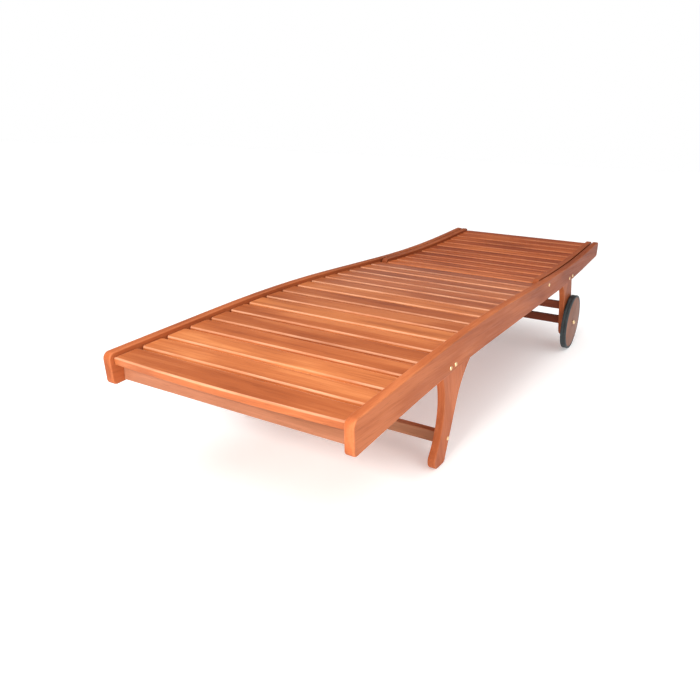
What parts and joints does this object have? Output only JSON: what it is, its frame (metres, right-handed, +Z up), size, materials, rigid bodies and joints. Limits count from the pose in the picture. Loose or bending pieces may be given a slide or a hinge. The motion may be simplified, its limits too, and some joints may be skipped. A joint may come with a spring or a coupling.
{
  "type": "reclining sun lounger",
  "caption": "Low wooden sun lounger: slatted seat between curved side rails, hinged reclining backrest held by a prop frame on racks, shaped legs, wheels at the head end.",
  "frame": {"origin": "on the ground, in the middle of the overall length and width", "axes": "+Z up, +Y from the foot end to the head end (wheels), +X to the right when looking along +Y"},
  "size_m": [0.661, 2, 0.3917],
  "materials": {
    "frame_wood": "oiled red-brown hardwood, fine straight grain, satin",
    "slat_wood": "oiled red-brown hardwood, board to board colour variation, satin",
    "wheel_wood": "turned hardwood disc, satin",
    "tyre": "dark grey-blue solid rubber with a grooved tread",
    "brass": "plain brass bolts and axle, lightly dulled",
    "steel": "plain bright steel bar"
  },
  "bodies": {
    "frame": {"axle": "brass", "frame_bolts": "brass", "front_apron": "frame_wood", "front_leg_left": "frame_wood", "front_leg_right": "frame_wood", "front_stretcher": "frame_wood", "rear_leg_left": "frame_wood", "rear_leg_right": "frame_wood", "rear_lower_stretcher": "frame_wood", "rear_upper_stretcher": "frame_wood", "rest_rack_left": "frame_wood", "rest_rack_right": "frame_wood", "seat_ledger_left": "frame_wood", "seat_ledger_right": "frame_wood", "seat_slat_01": "slat_wood", "seat_slat_02": "slat_wood", "seat_slat_03": "slat_wood", "seat_slat_04": "slat_wood", "seat_slat_05": "slat_wood", "seat_slat_06": "slat_wood", "seat_slat_07": "slat_wood", "seat_slat_08": "slat_wood", "seat_slat_09": "slat_wood", "seat_slat_10": "slat_wood", "seat_slat_11": "slat_wood", "seat_slat_12": "slat_wood", "seat_slat_13": "slat_wood", "seat_slat_14": "slat_wood", "seat_slat_15": "slat_wood", "seat_slat_16": "slat_wood", "side_rail_left": "frame_wood", "side_rail_right": "frame_wood"},
    "backrest": {"backrest_slat_01": "slat_wood", "backrest_slat_02": "slat_wood", "backrest_slat_03": "slat_wood", "backrest_slat_04": "slat_wood", "backrest_slat_05": "slat_wood", "backrest_slat_06": "slat_wood", "backrest_slat_07": "slat_wood", "backrest_slat_08": "slat_wood", "backrest_slat_09": "slat_wood", "backrest_slat_10": "slat_wood", "backrest_slat_11": "slat_wood", "backrest_stile_left": "frame_wood", "backrest_stile_right": "frame_wood", "prop_block_left": "frame_wood", "prop_block_right": "frame_wood", "prop_bolts": "brass"},
    "prop": {"prop_arm_left": "frame_wood", "prop_arm_right": "frame_wood", "prop_bar": "steel"},
    "wheel_right": {"wheel_disc_right": "wheel_wood", "wheel_tyre_right": "tyre"},
    "wheel_left": {"wheel_disc_left": "wheel_wood", "wheel_tyre_left": "tyre"}
  },
  "joints": [
    {"name": "backrest_recline", "type": "hinge", "parent": "frame", "child": "backrest", "pos_m": [0, 0.2405, 0.33305], "axis": [1, 0, 0], "range_deg": [0, 55]},
    {"name": "prop_swing", "type": "hinge", "parent": "backrest", "child": "prop", "pos_m": [0, 0.58525, 0.32005], "axis": [1, 0, 0], "range_deg": [-110, 0]},
    {"name": "wheel_right_spin", "type": "hinge", "parent": "frame", "child": "wheel_right", "pos_m": [0.311, 0.7, 0.1068], "axis": [1, 0, 0], "continuous": true},
    {"name": "wheel_left_spin", "type": "hinge", "parent": "frame", "child": "wheel_left", "pos_m": [-0.311, 0.7, 0.1068], "axis": [1, 0, 0], "continuous": true}
  ],
  "couplings": [
    {"joint": "prop_swing", "follows": "backrest_recline", "ratio": -2}
  ]
}
